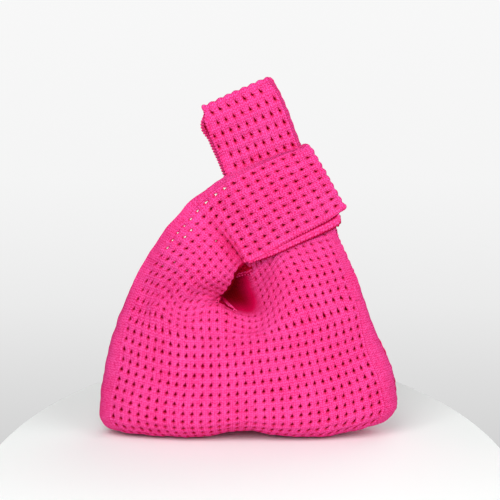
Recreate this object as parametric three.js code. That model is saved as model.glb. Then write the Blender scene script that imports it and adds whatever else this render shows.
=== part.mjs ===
// A knitted knot bag: a soft pouch whose long handle is drawn up through its short one, the keeper.
// Millimetres and degrees, +Z up, +X to the right as seen from the front, front facing -Y.
// The origin is the middle of the base, on the surface that the bag stands on.

import * as THREE from "three";

// The knit
const KNIT = 2.4; // thickness of the knitted cloth
const SEAM_GAP = 0.3; // clear gap where two pieces are linked
const BAND_WIDTH = 10; // plain band along the outer edge of each strap
const EDGING_WIDTH = 4; // cast-off edging along the mouth

// The pouch
const BASE_WIDTH = 250; // at its widest, just above the base
const BASE_DEPTH = 76;
const BASE_ROUND = 30; // height from the base to the widest level
const BASE_BAND_LENGTH = 198; // plain band that the bag stands on
const BASE_BAND_WIDTH = 26;
const BASE_SEAM_GAP = 0.6; // round the base band, whose ends are tightly curved
const SHOULDER_HEIGHT = 116; // where the side slits start
const SHOULDER_LEFT = 103; // from the middle of the base to the left slit
const SHOULDER_RIGHT = 97;
const SHOULDER_DEPTH = 52;
const LEFT_CURVE = 1.9; // how late each side turns in as it climbs
const RIGHT_CURVE = 1.35;
const DEPTH_CURVE = 1.3;
const SECTION_FULLNESS = 2.5; // 2 is an ellipse, more is squarer
const SLIT_GAP = 3; // between front and back at the foot of a slit

// The mouth, a notch in the front and in the back between the two straps
const MOUTH_X = -7;
const MOUTH_WIDTH = 26;
const MOUTH_CORNER_GAP = 1.5; // between the edging and the straps, which lean in over it
const DENT_DEPTH = 15; // how far the cloth sinks in below the mouth
const DENT_WIDTH = 26;

// The knot, where the handle passes up through the keeper
const KNOT_X = 21;
const SHOULDER_RISE = 17; // least height of the right shoulder
const STRAP_EASE = 0.3; // how long a strap runs straight before it turns
const HANDLE_TILT = 20; // lean of the long handle to the left
const KEEPER_TILT = 25; // climb of the keeper to the right
const LAYER_GAP = 0.4; // between the keeper and the handle in it

// The keeper, a short loop round the handle
const KEEPER_WIDTH = 70;
const KEEPER_BACK_DROP = 12; // its back layer lies this much lower
const KEEPER_CLEARANCE = 2.2; // beside the handle
const KEEPER_TRAVEL = 15; // how far it slides up the handle

// The handle, a long loop with a flat gap for the wrist
const HANDLE_ROOT_WIDTH = 80;
const HANDLE_TOP_WIDTH = 65;
const HANDLE_BACK_SHIFT = 4; // its back layer lies this much to the left
const LOOP_GAP = 6;
const STEM_CLEARANCE = 4; // straight run below the keeper
const FOLD_CLEARANCE = 7; // from the raised keeper to the fold
const GRIP_LENGTH = 38; // from the fold to the top

const MESH_KNIT_COLOUR = "#f2479a";
const PLAIN_KNIT_COLOUR = "#ef4a9a";
const KNIT_ROUGHNESS = 0.9;

const FRONT = -1;
const BACK = 1;
const { lerp, degToRad } = THREE.MathUtils;

// Sizes that follow from the ones above

const baseHalfWidth = BASE_WIDTH / 2 - KNIT / 2;
const baseHalfDepth = BASE_DEPTH / 2 - KNIT / 2;
const panelFloor = KNIT / 2 + SEAM_GAP;
const sideBandWidth = 2 * BAND_WIDTH + SLIT_GAP;

const loopRadius = LOOP_GAP / 2 + KNIT / 2;
const keeperRadius = loopRadius + KNIT + LAYER_GAP;
const skew = degToRad(KEEPER_TILT - HANDLE_TILT);
const keeperLowest = -KEEPER_WIDTH / 2 - KEEPER_BACK_DROP;
const rootHalf = HANDLE_ROOT_WIDTH / 2;
const handleLeft = -(rootHalf + HANDLE_BACK_SHIFT) * Math.cos(skew) + keeperLowest * Math.sin(skew);
const keeperLeft = handleLeft - KEEPER_CLEARANCE;
const keeperRight = rootHalf * Math.cos(skew) + KEEPER_CLEARANCE;
const stemRoot = keeperLeft * Math.sin(skew) + keeperLowest * Math.cos(skew) - STEM_CLEARANCE;
const keeperTop = (KEEPER_WIDTH / 2) * Math.cos(skew) + rootHalf * Math.sin(skew);
const foldLine = keeperTop + KEEPER_TRAVEL + FOLD_CLEARANCE;
const handleTop = foldLine + GRIP_LENGTH;

const lean = degToRad(HANDLE_TILT);
const knotHeight = SHOULDER_HEIGHT + SHOULDER_RISE - stemRoot * Math.cos(lean) + rootHalf * Math.sin(lean);

// Frames of the two loops, both centred on the knot: local X along the keeper, local Z along the handle

function knotFrame(tilt) {
  const frame = new THREE.Group();
  frame.position.set(KNOT_X, 0, knotHeight);
  frame.rotation.y = -degToRad(tilt);
  frame.updateMatrixWorld(true);
  return frame;
}

const keeperFrame = knotFrame(KEEPER_TILT);
const handleFrame = knotFrame(HANDLE_TILT);

function frameAxis(frame, axis) {
  return axis.clone().transformDirection(frame.matrixWorld);
}

// Solids

// Surfaces run on a little past their edges, so that neighbours share the same normal where they meet
function surfaceNormal(surface, u, v) {
  const step = 0.002;
  const across = surface(u + step, v).sub(surface(u - step, v));
  const along = surface(u, v + step).sub(surface(u, v - step));
  return across.cross(along).normalize();
}

// A closed sheet of knit, half its thickness on either side of the surface.
// Opposite rims are split along the same diagonal, so that neighbouring sheets stay parallel.
function knitSheet(surface, columns, rows) {
  const stride = columns + 1;
  const faceSize = stride * (rows + 1);
  const positions = [];
  for (const offset of [KNIT / 2, -KNIT / 2]) {
    for (let row = 0; row <= rows; row += 1) {
      for (let column = 0; column <= columns; column += 1) {
        const u = column / columns;
        const v = row / rows;
        const point = surface(u, v).addScaledVector(surfaceNormal(surface, u, v), offset);
        positions.push(point.x, point.y, point.z);
      }
    }
  }

  const indices = [];
  const outer = (column, row) => row * stride + column;
  const inner = (column, row) => faceSize + outer(column, row);
  const quad = (a, b, c, d) => indices.push(a, b, c, a, c, d);
  for (let column = 0; column < columns; column += 1) {
    const next = column + 1;
    for (let row = 0; row < rows; row += 1) {
      quad(outer(column, row), outer(next, row), outer(next, row + 1), outer(column, row + 1));
      quad(inner(column, row), inner(column, row + 1), inner(next, row + 1), inner(next, row));
    }
    quad(inner(column, 0), inner(next, 0), outer(next, 0), outer(column, 0));
    quad(outer(next, rows), inner(next, rows), inner(column, rows), outer(column, rows));
  }
  for (let row = 0; row < rows; row += 1) {
    quad(outer(0, row), outer(0, row + 1), inner(0, row + 1), inner(0, row));
    quad(inner(columns, row + 1), outer(columns, row + 1), outer(columns, row), inner(columns, row));
  }

  const geometry = new THREE.BufferGeometry();
  geometry.setAttribute("position", new THREE.Float32BufferAttribute(positions, 3));
  geometry.setIndex(indices);
  geometry.computeVertexNormals();
  return geometry;
}

function piece(name, geometry, colour) {
  const material = new THREE.MeshStandardMaterial({ color: colour, roughness: KNIT_ROUGHNESS, metalness: 0 });
  const mesh = new THREE.Mesh(geometry, material);
  mesh.name = name;
  return mesh;
}

// The pouch: level 0 is the edge of the base band, CORNER the widest level and 1 the foot of the slits

const CORNER = 1 / 3;
const SECTION_STEPS = 120;
const LEVEL_STEPS = 12;
const PANEL_COLUMNS = 22;
const SIDE_BAND_COLUMNS = 8;
const BASE_BAND_STRIDE = 5; // every fifth point of the section is enough for the flat strip

function pouchLevel(level) {
  if (level <= CORNER) {
    const turn = (level / CORNER) * (Math.PI / 2);
    const half = lerp(BASE_BAND_LENGTH / 2, baseHalfWidth, Math.sin(turn));
    return {
      left: -half,
      right: half,
      depth: lerp(BASE_BAND_WIDTH / 2, baseHalfDepth, Math.sin(turn)),
      height: panelFloor + (BASE_ROUND - panelFloor) * (1 - Math.cos(turn)),
      dent: 0,
    };
  }
  const climb = (level - CORNER) / (1 - CORNER);
  return {
    left: -baseHalfWidth + (baseHalfWidth - SHOULDER_LEFT) * climb ** LEFT_CURVE,
    right: baseHalfWidth - (baseHalfWidth - SHOULDER_RIGHT) * climb ** RIGHT_CURVE,
    depth: baseHalfDepth - (baseHalfDepth - SHOULDER_DEPTH / 2) * climb ** DEPTH_CURVE,
    height: BASE_ROUND + (SHOULDER_HEIGHT - BASE_ROUND) * climb,
    dent: DENT_DEPTH * climb ** 2,
  };
}

// Half of a level section, from the left side to the right, with the length run at each point
function pouchSection(side, level) {
  const { left, right, depth, height, dent } = pouchLevel(level);
  const middle = (left + right) / 2;
  const half = (right - left) / 2;
  const power = 2 / SECTION_FULLNESS;
  const points = [];
  const runs = [];
  for (let step = 0; step <= SECTION_STEPS; step += 1) {
    const turn = (step / SECTION_STEPS) * Math.PI;
    const across = -Math.cos(turn);
    const x = middle + half * Math.sign(across) * Math.abs(across) ** power;
    const sink = dent * Math.exp(-(((x - MOUTH_X) / DENT_WIDTH) ** 2));
    const out = depth * Math.abs(Math.sin(turn)) ** power;
    const rim = 1 - Math.abs(across) ** SECTION_FULLNESS;
    points.push(new THREE.Vector3(x, side * (out - sink * rim), height));
    runs.push(step === 0 ? 0 : runs[step - 1] + points[step].distanceTo(points[step - 1]));
  }
  return { points, runs, length: runs[SECTION_STEPS] };
}

function sectionPoint(section, run) {
  const { points, runs } = section;
  let step = 1;
  while (step < points.length - 1 && runs[step] < run) step += 1;
  const share = (run - runs[step - 1]) / (runs[step] - runs[step - 1]);
  return points[step - 1].clone().lerp(points[step], share);
}

function runToX(section, x) {
  const step = section.points.findIndex((point) => point.x >= x);
  const before = section.points[step - 1];
  const share = (x - before.x) / (section.points[step].x - before.x);
  return lerp(section.runs[step - 1], section.runs[step], share);
}

function panel(side) {
  const inset = sideBandWidth / 2 + SEAM_GAP / 2;
  const surface = (u, v) => {
    const section = pouchSection(side, v);
    const run = lerp(inset, section.length - inset, u);
    return sectionPoint(section, side === FRONT ? run : section.length - run);
  };
  return knitSheet(surface, PANEL_COLUMNS, LEVEL_STEPS);
}

function sideBand(isRight) {
  const inset = sideBandWidth / 2 - SEAM_GAP / 2;
  const surface = (u, v) => {
    const offset = isRight ? lerp(inset, -inset, u) : lerp(-inset, inset, u);
    const section = pouchSection(offset < 0 ? BACK : FRONT, v);
    const run = Math.abs(offset);
    return sectionPoint(section, isRight ? section.length - run : run);
  };
  return knitSheet(surface, SIDE_BAND_COLUMNS, LEVEL_STEPS);
}

// A flat strip that fills the opening at level 0
function baseBand() {
  const outline = new THREE.Shape();
  const lengthShare = 1 - BASE_SEAM_GAP / (BASE_BAND_LENGTH / 2);
  const widthShare = 1 - BASE_SEAM_GAP / (BASE_BAND_WIDTH / 2);
  for (const side of [FRONT, BACK]) {
    const { points } = pouchSection(side, 0);
    if (side === BACK) points.reverse();
    for (let step = 0; step < SECTION_STEPS; step += BASE_BAND_STRIDE) {
      const [x, y] = [points[step].x * lengthShare, points[step].y * widthShare];
      if (side === FRONT && step === 0) outline.moveTo(x, y);
      else outline.lineTo(x, y);
    }
  }
  return new THREE.ExtrudeGeometry(outline, { depth: KNIT, bevelEnabled: false });
}

const MOUTH_COLUMNS = 6;
const mouthLeft = MOUTH_X - MOUTH_WIDTH / 2;
const mouthRight = MOUTH_X + MOUTH_WIDTH / 2;

function levelAtHeight(height) {
  return CORNER + ((1 - CORNER) * (height - BASE_ROUND)) / (SHOULDER_HEIGHT - BASE_ROUND);
}

const strapLevel = levelAtHeight(SHOULDER_HEIGHT + SEAM_GAP);

function mouthEdging(side) {
  const surface = (u, v) => {
    const height = SHOULDER_HEIGHT + SEAM_GAP + EDGING_WIDTH * v;
    const section = pouchSection(side, levelAtHeight(height));
    const from = runToX(section, mouthLeft) + MOUTH_CORNER_GAP;
    const to = runToX(section, mouthRight) - MOUTH_CORNER_GAP;
    return sectionPoint(section, lerp(from, to, u));
  };
  return knitSheet(surface, MOUTH_COLUMNS, 1);
}

// Straps: u runs from the outer edge to the mouth edge, v from the pouch towards the loop's end

function strapSurface(rootLine, tipLine, tipDirection) {
  return (u, v) => {
    const root = rootLine(u, strapLevel);
    const above = rootLine(u, levelAtHeight(SHOULDER_HEIGHT + EDGING_WIDTH));
    const tip = tipLine(u);
    const ease = STRAP_EASE * root.distanceTo(tip);
    const rootHandle = above.sub(root).setLength(ease).add(root);
    const tipHandle = tip.clone().addScaledVector(tipDirection, -ease);
    return new THREE.CubicBezierCurve3(root, rootHandle, tipHandle, tip).getPoint(v);
  };
}

const CURVED_STRAP = { columns: 8, rows: 8 };
const FLAT_STRAP = { columns: 2, rows: 3 };
const LOOP_END = { columns: 4, rows: 8 };

// Cuts a strap into its plain band, its eyelet knit and its edging, each with its own solid
function strapPieces(name, surface, rootWidth, tipWidth, { columns, rows }) {
  const between = (from, to) => (u, v) => {
    const width = lerp(rootWidth, tipWidth, v);
    return surface(lerp(from(width), to(width), u) / width, v);
  };
  const half = SEAM_GAP / 2;
  const band = between(() => 0, () => BAND_WIDTH - half);
  const knit = between(() => BAND_WIDTH + half, (width) => width - EDGING_WIDTH - half);
  const edging = between((width) => width - EDGING_WIDTH + half, (width) => width);
  return [
    piece(name, knitSheet(knit, columns, rows), MESH_KNIT_COLOUR),
    piece(`${name}_band`, knitSheet(band, 1, rows), PLAIN_KNIT_COLOUR),
    piece(`${name}_edging`, knitSheet(edging, 1, rows), PLAIN_KNIT_COLOUR),
  ];
}

const dropOf = (side) => (side === BACK ? KEEPER_BACK_DROP : 0);
const shiftOf = (side) => (side === BACK ? HANDLE_BACK_SHIFT : 0);

function leftShoulder(name, side) {
  const slit = SLIT_GAP / 2;
  const rootSection = pouchSection(side, strapLevel);
  const rootWidth = runToX(rootSection, mouthLeft) - slit;
  const rootLine = (u, level) => {
    const section = pouchSection(side, level);
    return sectionPoint(section, lerp(slit, runToX(section, mouthLeft), u));
  };
  const tipLine = (u) => {
    const z = lerp(KEEPER_WIDTH / 2, -KEEPER_WIDTH / 2, u) - dropOf(side);
    return keeperFrame.localToWorld(new THREE.Vector3(keeperLeft - SEAM_GAP, side * keeperRadius, z));
  };
  const tipDirection = frameAxis(keeperFrame, new THREE.Vector3(1, 0, 0));
  const surface = strapSurface(rootLine, tipLine, tipDirection);
  return strapPieces(name, surface, rootWidth, KEEPER_WIDTH, CURVED_STRAP);
}

function rightShoulder(name, side) {
  const slit = SLIT_GAP / 2;
  const rootSection = pouchSection(side, strapLevel);
  const rootWidth = rootSection.length - slit - runToX(rootSection, mouthRight);
  const rootLine = (u, level) => {
    const section = pouchSection(side, level);
    return sectionPoint(section, lerp(section.length - slit, runToX(section, mouthRight), u));
  };
  const tipLine = (u) => {
    const x = lerp(rootHalf, -rootHalf, u) - shiftOf(side);
    return handleFrame.localToWorld(new THREE.Vector3(x, side * loopRadius, stemRoot - SEAM_GAP));
  };
  const tipDirection = frameAxis(handleFrame, new THREE.Vector3(0, 0, 1));
  const surface = strapSurface(rootLine, tipLine, tipDirection);
  return strapPieces(name, surface, rootWidth, HANDLE_ROOT_WIDTH, CURVED_STRAP);
}

// The keeper, in its own frame

function keeperLayer(name, side) {
  const from = side === FRONT ? keeperLeft : keeperRight - SEAM_GAP;
  const to = side === FRONT ? keeperRight - SEAM_GAP : keeperLeft;
  const surface = (u, v) => {
    const z = lerp(KEEPER_WIDTH / 2, -KEEPER_WIDTH / 2, u) - dropOf(side);
    return new THREE.Vector3(lerp(from, to, v), side * keeperRadius, z);
  };
  return strapPieces(name, surface, KEEPER_WIDTH, KEEPER_WIDTH, FLAT_STRAP);
}

function keeperEnd() {
  const surface = (u, v) => {
    const turn = Math.PI * v;
    const z = lerp(KEEPER_WIDTH / 2, -KEEPER_WIDTH / 2, u) - KEEPER_BACK_DROP * v;
    return new THREE.Vector3(keeperRight + keeperRadius * Math.sin(turn), -keeperRadius * Math.cos(turn), z);
  };
  return knitSheet(surface, LOOP_END.columns, LOOP_END.rows);
}

// The handle, in its own frame

function handleHalf(z) {
  return lerp(HANDLE_ROOT_WIDTH, HANDLE_TOP_WIDTH, (z - stemRoot) / (handleTop - stemRoot)) / 2;
}

function handleLayer(name, side, bottom, top) {
  const surface = (u, v) => {
    const z = lerp(bottom, top, v);
    const x = lerp(handleHalf(z), -handleHalf(z), u) - shiftOf(side);
    return new THREE.Vector3(x, side * loopRadius, z);
  };
  return strapPieces(name, surface, 2 * handleHalf(bottom), 2 * handleHalf(top), FLAT_STRAP);
}

const gripTopStart = handleTop - loopRadius - KNIT / 2;

function gripTop() {
  const half = handleHalf(gripTopStart);
  const surface = (u, v) => {
    const turn = Math.PI * v;
    const x = lerp(half, -half, u) - HANDLE_BACK_SHIFT * v;
    return new THREE.Vector3(x, -loopRadius * Math.cos(turn), gripTopStart + loopRadius * Math.sin(turn));
  };
  return knitSheet(surface, LOOP_END.columns, LOOP_END.rows);
}

const bag = new THREE.Group();
bag.add(
  piece("front_panel", panel(FRONT), MESH_KNIT_COLOUR),
  piece("back_panel", panel(BACK), MESH_KNIT_COLOUR),
  piece("left_side_band", sideBand(false), PLAIN_KNIT_COLOUR),
  piece("right_side_band", sideBand(true), PLAIN_KNIT_COLOUR),
  piece("base_band", baseBand(), PLAIN_KNIT_COLOUR),
  piece("front_mouth_edging", mouthEdging(FRONT), PLAIN_KNIT_COLOUR),
  piece("back_mouth_edging", mouthEdging(BACK), PLAIN_KNIT_COLOUR),
  keeperFrame,
  handleFrame,
);
for (const [word, side] of [["front", FRONT], ["back", BACK]]) {
  bag.add(...leftShoulder(`left_shoulder_${word}`, side), ...rightShoulder(`right_shoulder_${word}`, side));
  keeperFrame.add(...keeperLayer(`keeper_${word}`, side));
  handleFrame.add(
    ...handleLayer(`handle_stem_${word}`, side, stemRoot, foldLine - SEAM_GAP / 2),
    ...handleLayer(`grip_${word}`, side, foldLine + SEAM_GAP / 2, gripTopStart - SEAM_GAP),
  );
}
keeperFrame.add(piece("keeper_end", keeperEnd(), MESH_KNIT_COLOUR));
handleFrame.add(piece("grip_top", gripTop(), MESH_KNIT_COLOUR));

export default bag;
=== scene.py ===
# %% [markdown]
# # A knitted knot bag
# A knot bag is knitted in two halves, a front and a back, that are joined under the base and up the sides.
# Each half grows a short strap on the left and a long strap on the right.
# The ends of the short straps are linked into the keeper, and those of the long straps into the handle.
# The handle is drawn up through the keeper, and that closes the bag.
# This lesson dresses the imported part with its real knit: eyelets, pillows, plain bands and cast-off edges.

import math

import bpy
import numpy as np
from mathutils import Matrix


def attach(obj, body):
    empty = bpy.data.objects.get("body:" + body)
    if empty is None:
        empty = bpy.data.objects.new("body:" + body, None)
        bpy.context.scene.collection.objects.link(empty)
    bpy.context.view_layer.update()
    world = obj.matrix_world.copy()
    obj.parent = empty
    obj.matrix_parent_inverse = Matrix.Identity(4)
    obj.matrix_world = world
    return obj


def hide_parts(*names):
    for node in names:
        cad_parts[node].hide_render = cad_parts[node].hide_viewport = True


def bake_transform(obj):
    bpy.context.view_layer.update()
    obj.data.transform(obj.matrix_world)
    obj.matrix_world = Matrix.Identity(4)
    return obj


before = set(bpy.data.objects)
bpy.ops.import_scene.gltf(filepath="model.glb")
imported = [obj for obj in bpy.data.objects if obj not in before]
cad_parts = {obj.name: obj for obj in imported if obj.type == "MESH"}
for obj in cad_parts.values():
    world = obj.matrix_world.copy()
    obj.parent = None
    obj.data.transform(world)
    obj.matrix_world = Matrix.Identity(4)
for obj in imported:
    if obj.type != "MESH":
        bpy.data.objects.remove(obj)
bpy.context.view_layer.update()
print("CAD pieces:", len(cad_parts))

# %% [markdown]
# ## The pouch as a lofted shell
# The pouch is a stack of flattened rings: narrow at the base, widest a little above it, drawn in at the top.
# It could be sculpted from a cube, but the straps have to grow out of it without a step.
# So its rings are worked out in numbers first, in millimetres, and every sheet of knit is laid on them later.

# %% Sizes of the pouch
MM = 0.001
FRONT = -1
BACK = 1

BASE_LEFT = 114
BASE_RIGHT = 106
BASE_HALF_DEPTH = 13
FLOOR = 1.6
WIDE_HALF = 125
WIDE_HALF_DEPTH = 36.8
WIDE_HEIGHT = 20
SLIT_HEIGHT = 116
SLIT_HALF_DEPTH = {FRONT: 20, BACK: 26}
DEPTH_CURVE = 1.15
RING_FULLNESS = 2.5


def ease(start, end, value):
    share = np.clip((value - start) / (end - start), 0, 1)
    return share * share * (3 - 2 * share)


def hill(centre, width, value):
    return np.exp(-(((value - centre) / width) ** 2))


def soft_line(places, values, spread=8):
    """A line through a few points, rounded off at its corners."""
    fine = np.arange(places[0] - 3 * spread, places[-1] + 3 * spread, 0.5)
    weight = hill(0, spread, np.arange(-2 * spread, 2 * spread + 0.5, 0.5))
    level = np.pad(np.interp(fine, places, values), len(weight) // 2, mode="edge")
    level = np.convolve(level, weight / weight.sum(), mode="valid")
    return lambda value: np.interp(value, fine, level)


left_draw = soft_line(
    [-20, 20, 40, 55, 75, 95, 107, 116, 140, 165],
    [0, 0, 2, 4.8, 8.6, 15.4, 20, 24, 35.5, 49],
)
right_draw = soft_line(
    [-20, 20, 45, 65, 75, 95, 107, 116, 140, 165],
    [0, 0, 3.1, 10.1, 15.2, 23, 26.8, 29.6, 38, 49],
)


def ring_sizes(side, turn, climb):
    """Left, right, half depth and height of a ring: turn rounds the base, climb goes up from there."""
    round_out = np.sin(turn)
    height = FLOOR + (WIDE_HEIGHT - FLOOR) * (1 - np.cos(turn)) + (SLIT_HEIGHT - WIDE_HEIGHT) * climb
    left = -(BASE_LEFT + (WIDE_HALF - BASE_LEFT) * round_out) + left_draw(height)
    right = BASE_RIGHT + (WIDE_HALF - BASE_RIGHT) * round_out - right_draw(height)
    depth = BASE_HALF_DEPTH + (WIDE_HALF_DEPTH - BASE_HALF_DEPTH) * round_out
    depth = depth - (WIDE_HALF_DEPTH - SLIT_HALF_DEPTH[side]) * climb**DEPTH_CURVE
    return left, right, depth, height


# %% [markdown]
# ## Folds that the weight makes
# The knit is soft. It sinks in below the mouth, bellies out on both sides of that valley,
# and lifts off the ground at the right corner and a little in the middle.
# Each of these is a small smooth push that depends only on the place, so neighbouring sheets move together.

# %% Push the rings into shape
MOUTH_X = -7
VALLEY_DEPTH = 9
VALLEY_WIDTH = 26
VALLEY_DRIFT = 9
VALLEY_CURVE = 1.8
BELLY = 4.5
BELLY_WIDTH = 26
LEFT_BELLY_X = -58
RIGHT_BELLY_X = 44
BACK_VALLEY = 0.1
BACK_BELLY = 0.5
RIGHT_LIFT = 9
LEFT_LIFT = 3
MIDDLE_LIFT = 7


def valley(side, x, climb):
    """How far the cloth sinks in below the mouth, less what it bellies out beside it."""
    reach = np.clip(climb, 0, 1.05)
    centre = MOUTH_X - VALLEY_DRIFT * (1 - np.clip(climb, 0, 1))
    sink = VALLEY_DEPTH * reach**VALLEY_CURVE * hill(centre, VALLEY_WIDTH, x)
    bellies = hill(LEFT_BELLY_X, BELLY_WIDTH, x) + 0.8 * hill(RIGHT_BELLY_X, BELLY_WIDTH, x)
    belly = BELLY * reach * bellies
    if side == BACK:
        return BACK_VALLEY * sink - BACK_BELLY * belly
    return sink - belly


def lift(x, z):
    right = RIGHT_LIFT * ease(55, 124, x) * np.clip(1 - z / 125, 0, 1)
    left = LEFT_LIFT * ease(60, 122, -x) * np.clip(1 - z / 60, 0, 1)
    middle = MIDDLE_LIFT * hill(-3, 24, x) * np.clip(1 - z / 60, 0, 1) ** 2
    return right + left + middle


CLIMB_STEP = 0.5
RUN_STEPS = 560
TOP_RUN = 172
TURN_STEPS = 200
RISE_STEPS = 400
TOP_CLIMB = 1.5
TURNS = np.concatenate([np.linspace(0, math.pi / 2, TURN_STEPS), np.full(RISE_STEPS, math.pi / 2)])
CLIMBS = np.concatenate([np.zeros(TURN_STEPS), np.linspace(0, TOP_CLIMB, RISE_STEPS + 1)[1:]])
_, _, profile_depth, profile_height = ring_sizes(FRONT, TURNS, CLIMBS)
profile_run = np.concatenate([[0], np.cumsum(np.hypot(np.diff(profile_depth), np.diff(profile_height)))])
SLIT_CLIMB = float(np.interp(SLIT_HEIGHT, profile_height, profile_run))
ring_runs = np.arange(0, TOP_RUN, CLIMB_STEP)


def run_along(*steps):
    """Distance run along a line, from its steps in each direction."""
    return np.concatenate([[0], np.cumsum(np.sqrt(sum(step**2 for step in steps)))])


def ring_table(side):
    """Points of half the pouch, evenly spaced, one row per ring; and the length of each half ring."""
    angle = np.linspace(0, math.pi, 1441)
    across = -np.cos(angle)
    power = 2 / RING_FULLNESS
    rows = []
    lengths = []
    for run in ring_runs:
        turn = np.interp(run, profile_run, TURNS)
        climb = np.interp(run, profile_run, CLIMBS)
        left, right, depth, height = ring_sizes(side, turn, climb)
        x = (left + right) / 2 + (right - left) / 2 * np.sign(across) * np.abs(across) ** power
        rim = 1 - np.abs(across) ** RING_FULLNESS
        y = side * (depth * np.sin(angle) ** power - valley(side, x, climb) * rim)
        z = height + lift(x, height)
        length = run_along(np.diff(x), np.diff(y), np.diff(z))
        even = np.linspace(0, length[-1], RUN_STEPS + 1)
        rows.append(np.stack([np.interp(even, length, values) for values in (x, y, z)], axis=-1))
        lengths.append(length[-1])
    return np.array(rows), np.array(lengths)


def look_up(table, row, column):
    """Reads a table of points between its rows and columns."""
    row = np.clip(row, 0, table.shape[0] - 1.001)
    column = np.clip(column, 0, table.shape[1] - 1.001)
    r = row.astype(int)
    c = column.astype(int)
    dr = (row - r)[..., None]
    dc = (column - c)[..., None]
    near = table[r, c] * (1 - dc) + table[r, c + 1] * dc
    far = table[r + 1, c] * (1 - dc) + table[r + 1, c + 1] * dc
    return near * (1 - dr) + far * dr


RINGS = {}
RING_LENGTHS = {}
for side in (FRONT, BACK):
    RINGS[side], RING_LENGTHS[side] = ring_table(side)
print("half ring at the widest, mm:", round(float(RING_LENGTHS[FRONT].max()), 1))

# %% [markdown]
# ## Columns and rows of eyelets
# The photographed cloth has 31 columns of eyelets across a half, and about 8.5 mm from row to row.
# A place on the cloth is written as (column, row), so eyelets, stitches and folds all follow the knitting.
# The rows sag in the middle, because the straps carry the sides: the sag is taken off the way up the pouch.
# The plain bands between the halves are turned to the front, so the front's columns start further in.

# %% Places on the pouch, by column and row
COLUMNS = 31
BODY_ROWS = 18
ROW_PITCH = 8.53
BAND_WIDTH = 10
SLIT_GAP = 3
INSET = SLIT_GAP / 2 + BAND_WIDTH
SLIT_ROW = SLIT_CLIMB / ROW_PITCH
SAG_ROWS = [0, 1.2, 2.2, 3.3, 4.3, 5.3, 6.5, 12, 18]
SAG = {FRONT: [0, 0.5, 2, 5, 8, 10, 11.3, 13, 23], BACK: [0, 0.5, 2, 5, 8, 9, 9, 9, 9]}
RISE_ROWS = [0, 4, 8, 13, 18]
RISE = [6, 8, 9.5, 8.5, 6]
SAG_FROM = 9
SAG_TO = 13
FIRST_RUN = 2.4
EDGE_SAMPLES = 400
TURN_ENDS = 70
LEFT_TURN = 9.5
RIGHT_TURN = 13
RIGHT_TURN_LOSS = 11.5


def climb_at(side, s, t):
    """Way up the pouch, in mm, of a place on the cloth."""
    left = np.clip((SAG_FROM - s) / SAG_FROM, 0, 1) ** 1.5
    right = np.clip((s - SAG_TO) / (COLUMNS - SAG_TO), 0, 1) ** 1.2
    sag = np.interp(t, SAG_ROWS, SAG[side]) * (1 - left) * (1 - right)
    rise = np.interp(t, RISE_ROWS, RISE) * right**1.3
    return FIRST_RUN + t * ROW_PITCH - sag + rise


def slit_row(column):
    """Row of the foot of the slit, in the outermost column."""
    rows = np.linspace(8, BODY_ROWS, EDGE_SAMPLES)
    return float(np.interp(SLIT_CLIMB, climb_at(FRONT, np.full(EDGE_SAMPLES, column), rows), rows))


def side_turn(is_right, climb):
    """How far the plain bands are turned to the front, in mm."""
    share = ease(TURN_ENDS, SLIT_CLIMB, climb)
    return RIGHT_TURN - RIGHT_TURN_LOSS * share if is_right else LEFT_TURN * (1 - share)


def bare_point(side, s, t):
    """A place on the pouch without its shoulders."""
    climb = climb_at(side, s, t)
    row = climb / CLIMB_STEP
    length = np.interp(row, np.arange(len(RING_LENGTHS[side])), RING_LENGTHS[side])
    left = INSET - side * side_turn(False, climb)
    right = INSET - side * side_turn(True, climb)
    run = left + s * (length - left - right) / COLUMNS
    return look_up(RINGS[side], row, run / length * RUN_STEPS)


top_left = bare_point(FRONT, np.array([0.0]), np.array([float(BODY_ROWS)]))
print("top of the left edge, mm:", np.round(top_left[0], 1), "slit at row", round(SLIT_ROW, 2))

# %% [markdown]
# ## The knot
# The two straps cross in the knot, each in its own leaning frame: the keeper climbs to the right,
# and the handle leans to the left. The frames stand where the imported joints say, so nothing slides apart.

# %% Frames of the keeper and the handle
KNOT = np.array([21.0, 0.0, 198.54])
KEEPER_TILT = math.radians(25)
HANDLE_TILT = math.radians(20)
KEEPER_LEFT = -43.0
KEEPER_RIGHT = 47.6
KEEPER_GAP = 5.6
KEEPER_FOLD = 1.3
KEEPER_DROP = 10.8
KEEPER_END_DROP = 1.0
KEEPER_END_SHIFT = 3.0
KEEPER_COLUMNS = 9
KEEPER_PITCH = 7.1
KEEPER_EDGING = 2.6
LOOP_RADIUS = 4.2
STEM_GAP = 1.9
STEM_ROOT = -36
FOLD_LINE = 60.35
GRIP_TOP = 94.6
HANDLE_PITCH = 7.2
HANDLE_EDGING = 2.2
keeper_top = soft_line([-55, -50, -26, 0, 22, 44, 55], [31, 31.5, 36.5, 36, 34.5, 32, 31])
keeper_low = soft_line([-55, -28, -9, 19, 38, 47, 55], [-38, -37, -33.8, -32.4, -32, -31, -29])
keeper_plain = soft_line([-60, -43, -14, 14, 41, 55], [5, 4.6, 4.4, 2.2, 0.8, 0.8])
handle_right = soft_line([-60, -36, 0, 42, 64, 84, 92, 100], [44, 41.5, 38.5, 36.6, 36.4, 35.4, 34, 29])
handle_left = soft_line(
    [-60, -36, 10, 35, 46, 60, 80, 90, 100],
    [-30, -28, -30, -31, -31.3, -32.4, -32.6, -30, -27],
)
handle_plain = soft_line([-60, -36, 10, 35, 100], [10, 8.5, 4, 2.5, 2.5])


def in_frame(tilt, x, y, z):
    """World places of local ones: x along the keeper or across the handle, z the other way."""
    x, y, z = np.broadcast_arrays(x, y, z)
    return np.stack(
        [
            KNOT[0] + x * math.cos(tilt) - z * math.sin(tilt),
            KNOT[1] + y,
            KNOT[2] + x * math.sin(tilt) + z * math.cos(tilt),
        ],
        axis=-1,
    )


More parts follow.
